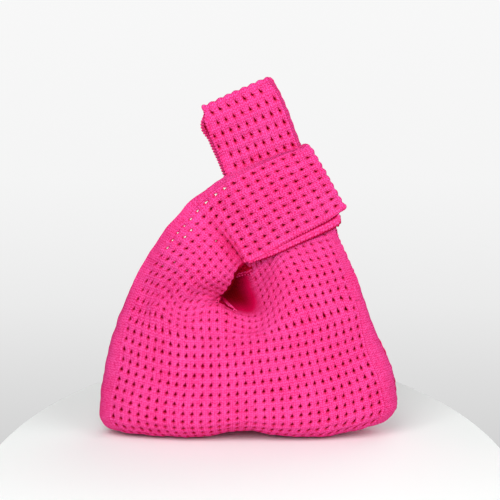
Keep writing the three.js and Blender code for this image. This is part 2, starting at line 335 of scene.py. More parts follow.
slit_length = float(np.interp(SLIT_CLIMB / CLIMB_STEP, np.arange(len(ring_runs)), RING_LENGTHS[FRONT]))
BAND_COLUMNS = BAND_WIDTH / ((slit_length - 2 * INSET) / COLUMNS)


def from_edge(s, band, pitch):
    """Distance from a strap's outer edge; columns below 0 are its plain band."""
    return np.where(s < 0, band * (1 + s / BAND_COLUMNS), band + s * pitch)


def keeper_height(x, s):
    top = keeper_top(x)
    band = keeper_plain(x)
    whole = top - keeper_low(x)
    pitch = (whole - KEEPER_EDGING - band) / KEEPER_COLUMNS
    return top - from_edge(s, band, pitch)


def handle_across(z, s):
    return handle_right(z) - from_edge(s, handle_plain(z), HANDLE_PITCH)


print("column pitch at the slits, mm:", round(BAND_WIDTH / BAND_COLUMNS, 2))

# %% [markdown]
# ## The back shoulders as bent ribbons
# From the top of the pouch each column of stitches runs on as its own smooth curve to the keeper or handle.
# Drawing a column as a curve with two handles keeps it tangent at both ends, which is how knitting hangs.
# The outer columns are longer than the inner ones, so the rows open like a fan round the mouth.

# %% Back shoulders: from the pouch to the straps
STRAP_EASE = 0.32
FAN_STEP = 0.125
FAN_START = -1.75
FAN_END = 21.0
FAN_ROWS = 160


def shoulder_table(root, above, tip, direction):
    """One curve per column, cut into even steps."""
    span = STRAP_EASE * np.linalg.norm(tip - root, axis=1)[:, None]
    rise = above - root
    first = root + rise / np.linalg.norm(rise, axis=1)[:, None] * span
    second = tip - direction * span
    v = np.linspace(0, 1, 2 * FAN_ROWS + 1)[:, None, None]
    curve = (1 - v) ** 3 * root + 3 * (1 - v) ** 2 * v * first + 3 * (1 - v) * v**2 * second + v**3 * tip
    steps = np.linalg.norm(np.diff(curve, axis=0), axis=2)
    runs = np.concatenate([np.zeros((1, steps.shape[1])), np.cumsum(steps, axis=0)])
    table = np.empty((FAN_ROWS + 1, curve.shape[1], 3))
    for column in range(curve.shape[1]):
        even = np.linspace(0, runs[-1, column], FAN_ROWS + 1)
        for axis in range(3):
            table[:, column, axis] = np.interp(even, runs[:, column], curve[:, column, axis])
    return table


fan = np.arange(FAN_START, FAN_END, FAN_STEP)
top = np.full(len(fan), float(BODY_ROWS))
keeper_z = keeper_height(KEEPER_LEFT, fan)
lean = KEEPER_TILT + math.radians(12) * np.clip((keeper_z + 35) / 70, 0, 1)
LEFT_BACK = shoulder_table(
    bare_point(BACK, fan, top),
    bare_point(BACK, fan, top + 0.4),
    in_frame(KEEPER_TILT, KEEPER_LEFT, KEEPER_GAP, keeper_z - KEEPER_DROP),
    np.stack([np.cos(lean), 0 * lean, np.sin(lean)], axis=-1),
)
RIGHT_BACK = shoulder_table(
    bare_point(BACK, COLUMNS - fan, top),
    bare_point(BACK, COLUMNS - fan, top + 0.4),
    in_frame(HANDLE_TILT, handle_across(STEM_ROOT, fan), 1.3 * STEM_GAP, STEM_ROOT),
    np.array([-math.sin(HANDLE_TILT), 0, math.cos(HANDLE_TILT)]),
)
print("curves per back shoulder:", len(fan))

# %% [markdown]
# ## The inner edges of the straps
# The straps get narrower by casting off stitches at the mouth side, so columns end one by one there.
# The edge is given as the last column at each row; what lies past it is folded onto it and merged away.
# At the front both straps stay wide until they are out of sight, in the mouth and inside the keeper.

# %% Last column at each row
SHOULDER_ROWS = 10
KEEPER_ROWS = 10
END_ROWS = 1
LEFT_STOPS = np.cumsum([BODY_ROWS, SHOULDER_ROWS, KEEPER_ROWS, END_ROWS, KEEPER_ROWS, SHOULDER_ROWS])
LEFT_LAST = LEFT_STOPS[-1] + BODY_ROWS
ROOT_ROWS = 5
STEM_ROWS = 13
TOP_ROWS = 1
RIGHT_STOPS = np.cumsum([BODY_ROWS, ROOT_ROWS, STEM_ROWS, TOP_ROWS, STEM_ROWS, ROOT_ROWS])
RIGHT_LAST = RIGHT_STOPS[-1] + BODY_ROWS
LEFT_ROOT = {FRONT: 12.1, BACK: 12.6}
RIGHT_ROOT = {FRONT: 16.1, BACK: 15.8}


def left_edge(t):
    front = 1 - ease(LEFT_STOPS[0], LEFT_STOPS[1] - 1, t)
    back = ease(LEFT_STOPS[4] + 1, LEFT_STOPS[5], t)
    extra = (LEFT_ROOT[FRONT] - KEEPER_COLUMNS) * front + (LEFT_ROOT[BACK] - KEEPER_COLUMNS) * back
    return KEEPER_COLUMNS + extra


def right_edge(t):
    up = np.interp(t, [RIGHT_STOPS[1], RIGHT_STOPS[2]], [STEM_ROOT, GRIP_TOP])
    down = np.interp(t, [RIGHT_STOPS[3], RIGHT_STOPS[4]], [GRIP_TOP, STEM_ROOT])
    z = np.where(t < RIGHT_STOPS[2] + 0.5 * TOP_ROWS, up, down)
    last = (handle_right(z) - handle_left(z) - handle_plain(z) - HANDLE_EDGING) / HANDLE_PITCH
    front = 1 - ease(RIGHT_STOPS[1] - 1, RIGHT_STOPS[1] + 4, t)
    back = ease(RIGHT_STOPS[4], RIGHT_STOPS[5], t)
    return last + (RIGHT_ROOT[FRONT] - last) * front + (RIGHT_ROOT[BACK] - last) * back


print("rows along the straps:", int(LEFT_LAST), int(RIGHT_LAST))

# %% [markdown]
# ## Layers of the keeper and the handle
# The keeper is flat at the back and bellies forward at the front; its rows lean a little against its length.
# The handle is pressed flat inside the keeper. In the grip its two layers part in the middle
# for the hand and stay together at the edges.

# %% Places on the keeper and the handle
BACK_DROOP = 12
DROOP_WAY = np.array([0.72, 0, -0.7])
KEEPER_LEAN = 0.085
KEEPER_CORNERS = (5, 3)
GRIP_CORNERS = (4, 2.5)
TOP_SLANT = 0.07
BACK_SHIFT = 2.8


def keeper_out(x, z, side):
    """How far a layer of the keeper stands off the middle plane."""
    flat = KEEPER_FOLD + (KEEPER_GAP - KEEPER_FOLD) * (1 - ease(30, KEEPER_RIGHT, x))
    if side == BACK:
        return flat
    share = np.clip(1 - (z / 40) ** 2, 0, 1)
    belly = share * (2.0 + 3.5 * hill(-8, 34, x)) * (1 - 0.7 * ease(20, KEEPER_RIGHT, x))
    return flat + belly * ease(KEEPER_LEFT, -20, x)


def round_corner(from_edge, radius):
    """How much shorter a strap is near an edge, where its corner is rounded."""
    inside = np.clip(1 - from_edge / radius, 0, 1)
    return radius * (1 - np.sqrt(1 - inside**2))


def keeper_place(share, s, side):
    x = KEEPER_LEFT + (KEEPER_RIGHT - KEEPER_LEFT) * share
    z = keeper_height(x, s)
    upper, lower = KEEPER_CORNERS
    corner = round_corner(keeper_top(x) - z, upper) + round_corner(z - keeper_low(x), lower)
    x = x - KEEPER_LEAN * z - corner * ease(0.75, 1, share)
    return x, z, side * keeper_out(x, z, side)


def keeper_drop(x):
    """How much lower the back layer hangs."""
    return KEEPER_DROP + (KEEPER_END_DROP - KEEPER_DROP) * ease(12, 44, x)


def keeper_short(x):
    """The back layer also ends a little sooner than the front one."""
    return KEEPER_END_SHIFT * ease(10, KEEPER_RIGHT, x)


def loop_gap(x, z):
    """Half the gap between the two layers of the handle."""
    open_gap = 1.6 + 3.4 * np.clip(1 - ((x - 2) / 36) ** 2, 0, 1) * (1 - 0.8 * ease(78, GRIP_TOP, z))
    gap = STEM_GAP + (open_gap - STEM_GAP) * ease(38, 78, z)
    return gap + 0.3 * STEM_GAP * (1 - ease(STEM_ROOT, STEM_ROOT + 15, z))


def back_shift(z):
    """The back layer of the grip shows a little to the left of the front one."""
    return BACK_SHIFT * ease(66, 80, z) * (1 - ease(83, 91, z))


def top_slant(x, z):
    """The fold at the top is lower on the left."""
    return TOP_SLANT * (x - 14) * ease(45, GRIP_TOP, z)


def top_corner(s):
    x = handle_across(GRIP_TOP, s)
    right, left = GRIP_CORNERS
    return round_corner(handle_right(GRIP_TOP) - x, right) + round_corner(x - handle_left(GRIP_TOP), left)


def handle_place(z, s, side):
    z = z - top_corner(s) * ease(70, GRIP_TOP, z)
    x = handle_across(z, s)
    y = side * loop_gap(x, z)
    shift = 0 if side == FRONT else back_shift(z)
    return in_frame(HANDLE_TILT, x - shift, y, z + top_slant(x, z))


# %% [markdown]
# ## The front shoulders as cages
# The front is what the photograph shows best, so its shoulders are drawn through places that were
# measured in it: a cage of 9 columns by 6 or 8 rows of eyelets, with a smooth curve through each line.
# A photograph doesn't show depth, so y was chosen from the way the cloth shades and folds.
# The left shoulder hangs over in a roll, the right one leans back, and between them both turn into the mouth.

# %% Cage of the left shoulder: x, y and z in mm, one line per row of eyelets
CAGE_COLUMNS = np.array([-1.6, 0.5, 2.5, 4.5, 6.5, 8.5, 10.5, 12.5, 17.5])
LEFT_CAGE_ROWS = [13.5, 15.5, 17.5, 19.5, 21.5, 23.5, 25.5, 26.5]
LEFT_CAGE = np.array([
    [
        [-107.9, -97.2, -86.8, -78.3, -66.0, -53.2, -39.1, -25.6, 6.3],
        [-101.1, -91.1, -82.3, -74.4, -63.8, -52.0, -39.2, -26.0, 5.9],
        [-93.4, -84.1, -74.7, -65.4, -60.6, -50.6, -37.7, -26.0, 2.1],
        [-84.9, -76.0, -65.7, -55.2, -49.1, -41.8, -31.1, -23.4, -4.6],
        [-75.5, -66.9, -55.7, -44.8, -37.3, -30.0, -21.6, -18.9, -10.5],
        [-66.6, -58.3, -45.9, -35.3, -26.7, -19.3, -13.5, -11.3, -4.6],
        [-55.4, -47.4, -36.4, -26.3, -17.6, -10.3, -5.8, -4.2, 2.1],
        [-49.3, -41.8, -31.2, -21.5, -12.9, -5.8, -1.2, 2.1, 9.7],
    ],
    [
        [-4, -12, -18, -22, -25.5, -27, -27, -25.5, -25],
        [-3, -10, -14.5, -20, -23.5, -24, -22.5, -19, -17],
        [-3, -9, -14.5, -20, -21.5, -20, -16.5, -10, -5],
        [-3, -10, -18, -23.5, -23.5, -19, -10.5, 0, 7],
        [-4, -11, -19, -25.5, -26.5, -21, -7, 6, 14],
        [-5, -10, -17, -22, -23, -19, -5, 8, 14],
        [-5, -8, -11, -12, -12, -10, 0, 8, 12],
        [-5, -7, -8, -8, -8, -7, 0, 6, 10],
    ],
    [
        [104.9, 103.1, 100.3, 99.7, 96.0, 91.5, 89.0, 87.3, 88.5],
        [120.9, 118.3, 115.4, 115.2, 107.0, 101.8, 102.4, 101.8, 97.8],
        [135.2, 133.2, 131.0, 126.5, 116.6, 111.3, 112.8, 111.8, 104.3],
        [150.7, 147.7, 144.2, 138.7, 128.5, 124.6, 120.3, 115.9, 111.3],
        [164.7, 161.1, 156.3, 149.8, 138.7, 131.7, 124.3, 119.2, 114.4],
        [177.9, 173.6, 167.2, 159.0, 147.4, 138.3, 131.3, 126.7, 121.2],
        [190.6, 184.7, 176.5, 166.7, 155.7, 146.7, 141.0, 137.4, 132.8],
        [197.9, 191.0, 180.9, 170.6, 159.9, 150.3, 144.8, 140.7, 135.7],
    ],
])

# %% Cage of the right shoulder
RIGHT_CAGE_ROWS = [12.5, 14.5, 16.5, 18.5, 20.5, 23.0]
RIGHT_CAGE = np.array([
    [
        [97.7, 86.5, 74.3, 62.8, 51.1, 37.7, 24.8, 12.8, -20.2],
        [93.5, 82.7, 69.8, 57.5, 45.3, 33.0, 21.9, 12.4, -18.6],
        [88.6, 78.2, 65.3, 52.8, 39.5, 28.6, 20.4, 11.4, -17.0],
        [82.4, 73.3, 60.6, 47.8, 34.2, 24.7, 17.3, 9.6, -22.0],
        [76.7, 68.0, 55.0, 42.1, 29.1, 21.2, 14.0, 5.5, -36.0],
        [71.6, 61.2, 47.8, 34.8, 22.9, 15.6, 8.3, 0.0, -38.0],
    ],
    [
        [-5, -14, -19, -22, -25, -27, -28, -27.5, -26],
        [-4.5, -12, -17, -20, -22, -23, -22.5, -21, -18],
        [-3.5, -10, -14.5, -17.5, -19, -18.5, -16, -13, -7],
        [-3, -7.5, -11, -13, -13.5, -12, -9, -4.5, 4],
        [-2.5, -5, -7, -8, -8, -6, -2, 4, 11],
        [-2.5, -3, -3, -3, -2.5, 0, 4, 9, 14],
    ],
    [
        [107.9, 106.4, 103.8, 101.3, 98.6, 94.5, 89.9, 85.3, 81.1],
        [123.0, 121.5, 118.8, 115.7, 113.9, 108.2, 100.8, 93.1, 92.0],
        [137.3, 135.8, 133.0, 130.5, 128.0, 120.0, 109.8, 100.9, 103.3],
        [150.9, 149.0, 145.7, 143.9, 139.4, 130.0, 119.2, 108.7, 108.0],
        [163.1, 161.1, 157.8, 154.8, 149.2, 139.0, 128.5, 118.5, 118.0],
        [175.9, 174.1, 171.8, 167.6, 159.4, 148.2, 139.8, 133.0, 134.0],
    ],
])

# %% Smooth surfaces through the cages
CAGE_STEP = 0.05
CAGE_START = 11
CAGE_END = 26.0
HELD_COLUMN = 8.7


def spline_weights(knots, fine):
    """Weights that carry values at a few knots to the smooth curve through them."""
    count = len(knots)
    gap = np.diff(knots)
    system = np.eye(count)
    bends = np.zeros((count, count))
    for k in range(1, count - 1):
        system[k, k - 1 : k + 2] = [gap[k - 1], 2 * (gap[k - 1] + gap[k]), gap[k]]
        bends[k, k - 1 : k + 2] = [6 / gap[k - 1], -6 / gap[k - 1] - 6 / gap[k], 6 / gap[k]]
    bends = np.linalg.solve(system, bends)
    k = np.clip(np.searchsorted(knots, fine) - 1, 0, count - 2)
    near = (knots[k + 1] - fine) / gap[k]
    far = 1 - near
    weights = np.zeros((len(fine), count))
    weights[np.arange(len(fine)), k] = near
    weights[np.arange(len(fine)), k + 1] = far
    bow = (near**3 - near)[:, None] * bends[k] + (far**3 - far)[:, None] * bends[k + 1]
    return weights + bow * (gap[k] ** 2 / 6)[:, None]


def cage_surface(rows, cage, below, above):
    """Fine table through a cage, tied to the pouch below it and to the strap above it."""
    knots = np.array([CAGE_START] + rows + list(above))
    places = np.concatenate([below[None], np.moveaxis(cage, 0, -1), np.stack(list(above.values()))])
    fine_rows = np.arange(CAGE_START, knots[-1], CAGE_STEP)
    fine_columns = np.arange(CAGE_COLUMNS[0], CAGE_COLUMNS[-1], FAN_STEP)
    down = spline_weights(knots, fine_rows)
    across = spline_weights(CAGE_COLUMNS, fine_columns)
    return np.einsum("rk,kcx,fc->rfx", down, places, across)


def held_back(s, last):
    """Columns past the last one are drawn together."""
    return np.where(s > last, last + 0.2 * (s - last), s)


first_row = np.full(len(CAGE_COLUMNS), float(CAGE_START))
above_left = {}
for row in (28.0, 29.5):
    share = (row - LEFT_STOPS[1]) / KEEPER_ROWS
    x, z, y = keeper_place(share, held_back(CAGE_COLUMNS, KEEPER_COLUMNS + 0.5), FRONT)
    above_left[row] = in_frame(KEEPER_TILT, x, y, z)
LEFT_FRONT = cage_surface(LEFT_CAGE_ROWS, LEFT_CAGE, bare_point(FRONT, CAGE_COLUMNS, first_row), above_left)
above_right = {}
for row in (CAGE_END, 28.0):
    z = STEM_ROOT + (GRIP_TOP - STEM_ROOT) * (row - RIGHT_STOPS[1]) / STEM_ROWS
    above_right[row] = handle_place(z, held_back(CAGE_COLUMNS, HELD_COLUMN), FRONT)
RIGHT_FRONT = cage_surface(
    RIGHT_CAGE_ROWS, RIGHT_CAGE, bare_point(FRONT, COLUMNS - CAGE_COLUMNS, first_row), above_right
)
print("cages:", LEFT_FRONT.shape, RIGHT_FRONT.shape)


# %% The front of the pouch, bare below and on the cages above
CREASE_ROW = 26.4
CREASE_WIDTH = 0.85
CREASE_DEPTH = 2.0
CREASE_GROWTH = 0.42
CAGE_FROM = 12.2
CAGE_BLEND = 2.6
LEFT_LATER = 2.8
RIGHT_LATER = 1.9
LEFT_ENDS = 12.7
RIGHT_STARTS = 14.4


def crease(s, t):
    """The keeper is squeezed in along one row, more towards its lower edge."""
    deep = CREASE_DEPTH + CREASE_GROWTH * np.clip(s, 0, KEEPER_COLUMNS)
    return deep * hill(CREASE_ROW, CREASE_WIDTH, t)


def front_half(table, columns, s, t, later):
    """The outer columns stay on the pouch a little longer, up to the foot of the slit."""
    cage = look_up(table, (t - CAGE_START) / CAGE_STEP, (s - CAGE_COLUMNS[0]) / FAN_STEP)
    bare = bare_point(FRONT, columns, np.minimum(t, BODY_ROWS))
    start = CAGE_FROM + later * (1 - ease(0, 2, s))
    return bare + (cage - bare) * ease(start, start + CAGE_BLEND, t)[..., None]


def front_left(s, t):
    point = front_half(LEFT_FRONT, s, s, t, LEFT_LATER)
    point[..., 1] += crease(s, t)
    return point


def front_right(s, t):
    return front_half(RIGHT_FRONT, COLUMNS - s, s, t, RIGHT_LATER)


def body_point(side, s, t):
    if side == BACK:
        return bare_point(BACK, s, t)
    share = ease(LEFT_ENDS, RIGHT_STARTS, s)[..., None]
    return front_left(s, t) * (1 - share) + front_right(COLUMNS - s, t) * share


# %% [markdown]
# ## The two straps, each one ribbon from front to back
# The short strap goes up the left shoulder, along the front of the keeper, round its end and back down.
# The back shoulder hangs a little lower than the front one, so light comes through the front's outer eyelets.
# The long strap goes up through the keeper, over the top of the handle and down again behind.

# %% The short strap by column and row
FOLD_SCALLOP = 0.5


def scalloped(s, height):
    """The fold at a strap's end swells at each column."""
    return height * np.abs(np.cos(math.pi * s)) - FOLD_SCALLOP


def left_point(s, t):
    s, t = np.broadcast_arrays(np.asarray(s, float), np.asarray(t, float))
    point = np.empty(s.shape + (3,))
    fan_column = (s - FAN_START) / FAN_STEP
    part = np.digitize(t, LEFT_STOPS)
    for number in range(7):
        here = part == number
        if not here.any():
            continue
        s_here, t_here = s[here], t[here]
        share = t_here - (LEFT_STOPS[number - 1] if number else 0)
        if number < 2:
            point[here] = front_left(s_here, t_here)
        elif number == 6:
            point[here] = bare_point(BACK, s_here, LEFT_LAST - t_here)
        elif number == 5:
            share = 1 - share / SHOULDER_ROWS
            laid = look_up(LEFT_BACK, share * FAN_ROWS, fan_column[here])
            outer = 1 - np.clip(s_here / KEEPER_COLUMNS, 0, 1)
            droop = BACK_DROOP * np.sin(math.pi * share) ** 2 * outer
            point[here] = laid + droop[:, None] * DROOP_WAY
        elif number == 3:
            turn = math.pi * share / END_ROWS
            x, z, y = keeper_place(1.0, s_here, FRONT)
            _, _, behind = keeper_place(1.0, s_here, BACK)
            y = y * np.cos(turn / 2) ** 2 + behind * np.sin(turn / 2) ** 2
            behind = ease(0.4, 1, share / END_ROWS)
            bulge = KEEPER_FOLD + scalloped(s_here, 0.9)
            x = x + bulge * np.sin(turn) - keeper_short(x) * behind
            point[here] = in_frame(KEEPER_TILT, x, y, z - keeper_drop(x) * behind)
        else:
            side = FRONT if number == 2 else BACK
            share = share / KEEPER_ROWS if side == FRONT else 1 - share / KEEPER_ROWS
            x, z, y = keeper_place(share, s_here, side)
            if side == FRONT:
                point[here] = in_frame(KEEPER_TILT, x, y + crease(s_here, t_here), z)
            else:
                point[here] = in_frame(KEEPER_TILT, x - keeper_short(x), y, z - keeper_drop(x))
    return point


# %% The long strap by column and row
def right_point(s, t):
    s, t = np.broadcast_arrays(np.asarray(s, float), np.asarray(t, float))
    point = np.empty(s.shape + (3,))
    fan_column = (s - FAN_START) / FAN_STEP
    part = np.where(t < CAGE_END, 0, np.digitize(t, RIGHT_STOPS))
    for number in range(7):
        here = part == number
        if not here.any():
            continue
        s_here, t_here = s[here], t[here]
        share = t_here - (RIGHT_STOPS[number - 1] if number else 0)
        if number == 0:
            point[here] = front_right(s_here, t_here)
        elif number == 6:
            point[here] = bare_point(BACK, COLUMNS - s_here, RIGHT_LAST - t_here)
        elif number == 5:
            share = 1 - share / ROOT_ROWS
            point[here] = look_up(RIGHT_BACK, share * FAN_ROWS, fan_column[here])
            point[here, 0] -= 2 * np.sin(math.pi * share) * (1 - np.clip(s_here / 6, 0, 1))
        elif number == 3:
            turn = math.pi * share / TOP_ROWS
            top = GRIP_TOP - top_corner(s_here)
            x = handle_across(top, s_here)
            gap = loop_gap(x, top)
            bulge = gap + scalloped(s_here, 0.8)
            z = top + top_slant(x, top) + bulge * np.sin(turn)
            point[here] = in_frame(HANDLE_TILT, x, -gap * np.cos(turn), z)
        else:
            side = FRONT if number == 2 else BACK
            share = share / STEM_ROWS if side == FRONT else 1 - share / STEM_ROWS
            z = STEM_ROOT + (GRIP_TOP - STEM_ROOT) * share
            column = held_back(s_here, HELD_COLUMN) if side == FRONT else s_here
            point[here] = handle_place(z, column, side)
    return point


keeper_tip = left_point(4.0, LEFT_STOPS[2] + 0.5)
handle_tip = right_point(4.0, RIGHT_STOPS[2] + 0.5)
print("keeper and handle reach, mm:", np.round(keeper_tip, 1), np.round(handle_tip, 1))

# %% [markdown]
# ## One cell of the eyelet knit
# A cell holds one eyelet: a drop-shaped hole, wide at the bottom, with a groove above it where yarns cross.
# Between the eyelets the knit swells into soft pillows, with a lip under each hole.
# Each cell gets 8 by 10 faces, enough for the drop and the pillow and few enough for about 2,000 cells.

# %% Relief of the knit
ACROSS = 8
ALONG = 10
CELL_WIDTH = 7.6
CELL_HEIGHT = 8.5
HOLE_MIDDLE = 0.48
COLUMN_PILLOW = 0.1
ROW_PILLOW = 0.2
HOLE_COLUMNS = slice(3, 5)
HOLE_ROWS = slice(3, 7)
DROP_ROWS = np.array([0.2, 0.3, 0.4, 0.5, 0.6, 0.7, 0.8])
DROP_WIDTHS = np.array([1.0, 1.35, 1.4, 1.15, 0.8, 0.4, 0.7])


def pillow(s, t):
    """Flat on the pouch, where the cloth is pulled tight, and fuller in the straps."""
    leaves = ease(BODY_ROWS, BODY_ROWS + 5, t)
    returns = ease(0, 5, t - LEFT_LAST + BODY_ROWS + 5)
    full = 1 + 1.5 * leaves * (1 - returns)
    return full * (COLUMN_PILLOW * np.cos(2 * math.pi * s) + ROW_PILLOW * np.cos(2 * math.pi * t))


def eyelet_relief(a, b):
    """Funnel round the hole, lip under it and groove above it, for a place in its cell."""
    across = (a - 0.5) * CELL_WIDTH
    dip = -0.75 * hill(0, 1.5, across) * hill(HOLE_MIDDLE, 0.22, b)
    lip = 0.45 * hill(0, 1.4, across) * hill(0.19, 0.09, b)
    groove = -0.2 * hill(0, 0.7, across) * ease(0.62, 0.74, b) * (1 - ease(0.8, 0.95, b))
    return dip + lip + groove


def hollow_of(a, b):
    """How deep in the eyelet a place is, which sets the shade painted there: 1 at the hole, 0 on the pillows.
    """
    across = (a - 0.5) * CELL_WIDTH
    away = np.hypot(across, (b - HOLE_MIDDLE) * CELL_HEIGHT / 1.8)
    groove = 0.35 * hill(0, 0.7, across) * ease(0.6, 0.7, b) * (1 - ease(0.78, 0.9, b))
    return np.maximum(1 - ease(1.05, 2.0, away), groove)


def mouth_depth(s, t, first, last):
    """How far into the mouth a place has turned, where light fades and shade is painted: 0 outside, 1 inside.
    """
    above = ease(BODY_ROWS - 1.5, BODY_ROWS + 2.5, t)
    beyond = ease(BODY_ROWS + 8, BODY_ROWS + 11, t)
    return ease(first, last, s) * above * (1 - beyond)


def wobble(point):
    """Slow unevenness of hand-finished cloth, under a millimetre."""
    x, y, z = point[..., 0], point[..., 1], point[..., 2]
    first = np.sin(0.19 * x + 0.11 * z + 1.3) * np.sin(0.16 * z - 0.07 * x + 0.4 + 0.05 * y)
    second = np.sin(0.43 * x - 0.21 * z + 2.1) * np.sin(0.37 * z + 0.19 * x + 0.9)
    return 0.45 * first + 0.22 * second


# %% [markdown]
# ## Laying a sheet of knit
# Each sheet starts as Blender's grid, one face per grid square. Its corners are then laid on the surface,
# raised by the relief along the surface's own normal. Hole faces are selected and deleted, folded-away
# corners are merged, and Solidify gives the cloth its thickness.
# Solidify keeps the first corners on the outside, so only the rest keep their mark as inside of the bag.

# %% Turn a grid into a sheet
CLOTH = 1.9
NORMAL_STEP = 0.2
MERGE_WITHIN = 0.00002
SMOOTH_ANGLE = math.radians(50)


def normals_of(surface, s, t):
    across = surface(s + NORMAL_STEP, t) - surface(s - NORMAL_STEP, t)
    along = surface(s, t + NORMAL_STEP) - surface(s, t - NORMAL_STEP)
    normal = np.cross(across, along)
    length = np.linalg.norm(normal, axis=-1, keepdims=True)
    return normal / np.maximum(length, 1e-9)


def grid_sheet(name, point, s, t):
    """A grid with its corners at the given points, and s and t as its UV places."""
    rows, columns = s.shape
    bpy.ops.object.select_all(action="DESELECT")
    bpy.ops.mesh.primitive_grid_add(x_subdivisions=columns - 1, y_subdivisions=rows - 1, size=1)
    sheet = bpy.context.object
    sheet.name = name
    mesh = sheet.data
    mesh.name = name
    mesh.vertices.foreach_set("co", (point * MM).astype(np.float32).ravel())
    corner = np.empty(len(mesh.loops), int)
    mesh.loops.foreach_get("vertex_index", corner)
    places = np.stack([s.ravel(), t.ravel()], axis=-1)[corner]
    mesh.uv_layers[0].data.foreach_set("uv", places.astype(np.float32).ravel())
    mesh.update()
    return sheet


def close_sheet(sheet, holes, turned, thickness):
    """Cuts the holes, merges what is folded away and thickens the cloth; counts the outer corners."""
    bpy.ops.object.mode_set(mode="EDIT")
    bpy.ops.mesh.select_mode(type="FACE")
    if holes is not None:
        bpy.ops.mesh.select_all(action="DESELECT")
        bpy.ops.object.mode_set(mode="OBJECT")
        sheet.data.polygons.foreach_set("select", holes.ravel())
        bpy.ops.object.mode_set(mode="EDIT")
        bpy.ops.mesh.delete(type="FACE")
    bpy.ops.mesh.select_all(action="SELECT")
    bpy.ops.mesh.remove_doubles(threshold=MERGE_WITHIN)
    if turned:
        bpy.ops.mesh.flip_normals()
    bpy.ops.object.mode_set(mode="OBJECT")
    outer_corners = len(sheet.data.vertices)
    wall = sheet.modifiers.new("cloth thickness", "SOLIDIFY")
    wall.thickness = thickness * MM
    wall.offset = 0
    bpy.ops.object.modifier_apply(modifier=wall.name)
    bpy.ops.object.shade_smooth_by_angle(angle=SMOOTH_ANGLE)
    print(sheet.name, "triangles:", sum(len(face.vertices) - 2 for face in sheet.data.polygons))
    return outer_corners


def lay_sheet(
    name, surface, s, t, relief, outward, holes=None, hollow=None, lined=None, mouth=None, thickness=CLOTH
):
    """A sheet of knit on a surface, with its relief, holes and shades.

    s, t: places, row by row; outward: -1 turns the sheet round; holes: faces to cut;
    hollow: painted shade round the eyelets; mouth: painted shade of a fold, the mouth, rims or loops;
    lined: 1 or more where the sheet's other side is the inside of the bag, painted as shade with a glow.
    """
    point = surface(s, t)
    point = point + (relief + wobble(point))[..., None] * normals_of(surface, s, t) * outward
    sheet = grid_sheet(name, point, s, t)
    for mark, values in (("hollow", hollow), ("inner", lined), ("mouth", mouth)):
        values = np.zeros(s.shape) if values is None else values
        layer = sheet.data.attributes.new(mark, "FLOAT", "POINT")
        layer.data.foreach_set("value", values.astype(np.float32).ravel())
    outer_corners = close_sheet(sheet, holes, outward < 0, thickness)
    inner = np.empty(len(sheet.data.vertices), np.float32)
    layer = sheet.data.attributes["inner"]
    layer.data.foreach_get("value", inner)
    inner[:outer_corners] = 0
    layer.data.foreach_set("value", inner)
    return sheet


# %% Cut the eyelets of a sheet
rng = np.random.default_rng(31)


def eyelet_grid(first_row, last_row, columns, has_hole, openness):
    """Places for a sheet of cells with the drops shaped into it, its relief, hole faces and hollows.

    openness: one number per cell, 1 for an open eyelet and near 0 for one that is drawn shut.
    """
    rows = last_row - first_row
    s = np.tile(np.linspace(0, columns, columns * ACROSS + 1), (rows * ALONG + 1, 1))
    t = np.tile(np.linspace(first_row, last_row, rows * ALONG + 1)[:, None], (1, s.shape[1]))
    relief = pillow(s, t)
    hollow = np.zeros(s.shape)
    holes = np.zeros((rows * ALONG, columns * ACROSS), bool)
    s_out = s.copy()
    t_out = t.copy()
    for row in range(rows):
        for column in range(columns):
            width, tilt, height = rng.uniform([0.88, 0.08, 0.9], [1.12, 0.22, 1.12])
            if not has_hole[row, column]:
                continue
            low = row * ALONG
            left = column * ACROSS
            block = (slice(low, low + ALONG + 1), slice(left, left + ACROSS + 1))
            a = s[block] - column
            b = t[block] - first_row - row
            relief[block] += eyelet_relief(a, b) * np.where((a % 1 == 0) | (b % 1 == 0), 0, 1)
            hollow[block] = np.maximum(hollow[block], hollow_of(a, b))
            offset = a - 0.5
            reach = np.clip((0.40 - np.abs(offset)) / 0.275, 0, 1)
            inside = ease(0.1, 0.25, b) * (1 - ease(0.75, 0.9, b))
            drop = np.interp(b, DROP_ROWS, DROP_WIDTHS) * width * openness[row, column]
            s_out[block] += (offset * (drop - 1) * reach + tilt * (b - 0.5) * reach) * inside
            t_out[block] += (b - 0.5) * (height - 1) * reach * inside
            cell = holes[low : low + ALONG, left : left + ACROSS]
            cell[HOLE_ROWS, HOLE_COLUMNS] = True
    return s_out, t_out, relief, holes, hollow


# %% [markdown]
# ## The yarn
# The bag is knitted from a matt, bright pink yarn. Up close it shows columns of small V-shaped stitches,
# two to each column of eyelets and four to each row, and slow shifts of tone where the knit is looser.
# The stitches are drawn from the sheet's own column and row places, so they bend with the cloth.
# The gaps between their legs are painted a deeper pink, as shade.
# The inner side of the bag sees only light that has passed through the yarn, so it is painted
# a deep red as shade, and a faint painted red glow stands for that light.

# %% Nodes that the yarn needs
def put(tree, socket, value):
    """Sets a socket to a constant or links it to another node's output."""
    if isinstance(value, (int, float, tuple)):
        socket.default_value = value
    else:
        tree.links.new(value, socket)


def maths(tree, operation, first, second=None):
    node = tree.nodes.new("ShaderNodeMath")
    node.operation = operation
    put(tree, node.inputs[0], first)
    if second is not None:
        put(tree, node.inputs[1], second)
    return node.outputs[0]


def mixed(tree, factor, first, second):
    node = tree.nodes.new("ShaderNodeMix")
    node.data_type = "RGBA"
    put(tree, node.inputs["Factor"], factor)
    put(tree, node.inputs["A"], first)
    put(tree, node.inputs["B"], second)
    return node.outputs["Result"]


def attribute(tree, name):
    node = tree.nodes.new("ShaderNodeAttribute")
    node.attribute_name = name
    return node.outputs["Fac"]


def noise(tree, scale):
    place = tree.nodes.new("ShaderNodeTexCoord")
    node = tree.nodes.new("ShaderNodeTexNoise")
    node.inputs["Scale"].default_value = scale
    node.inputs["Detail"].default_value = 3
    tree.links.new(place.outputs["Object"], node.inputs["Vector"])
    return node.outputs["Fac"]


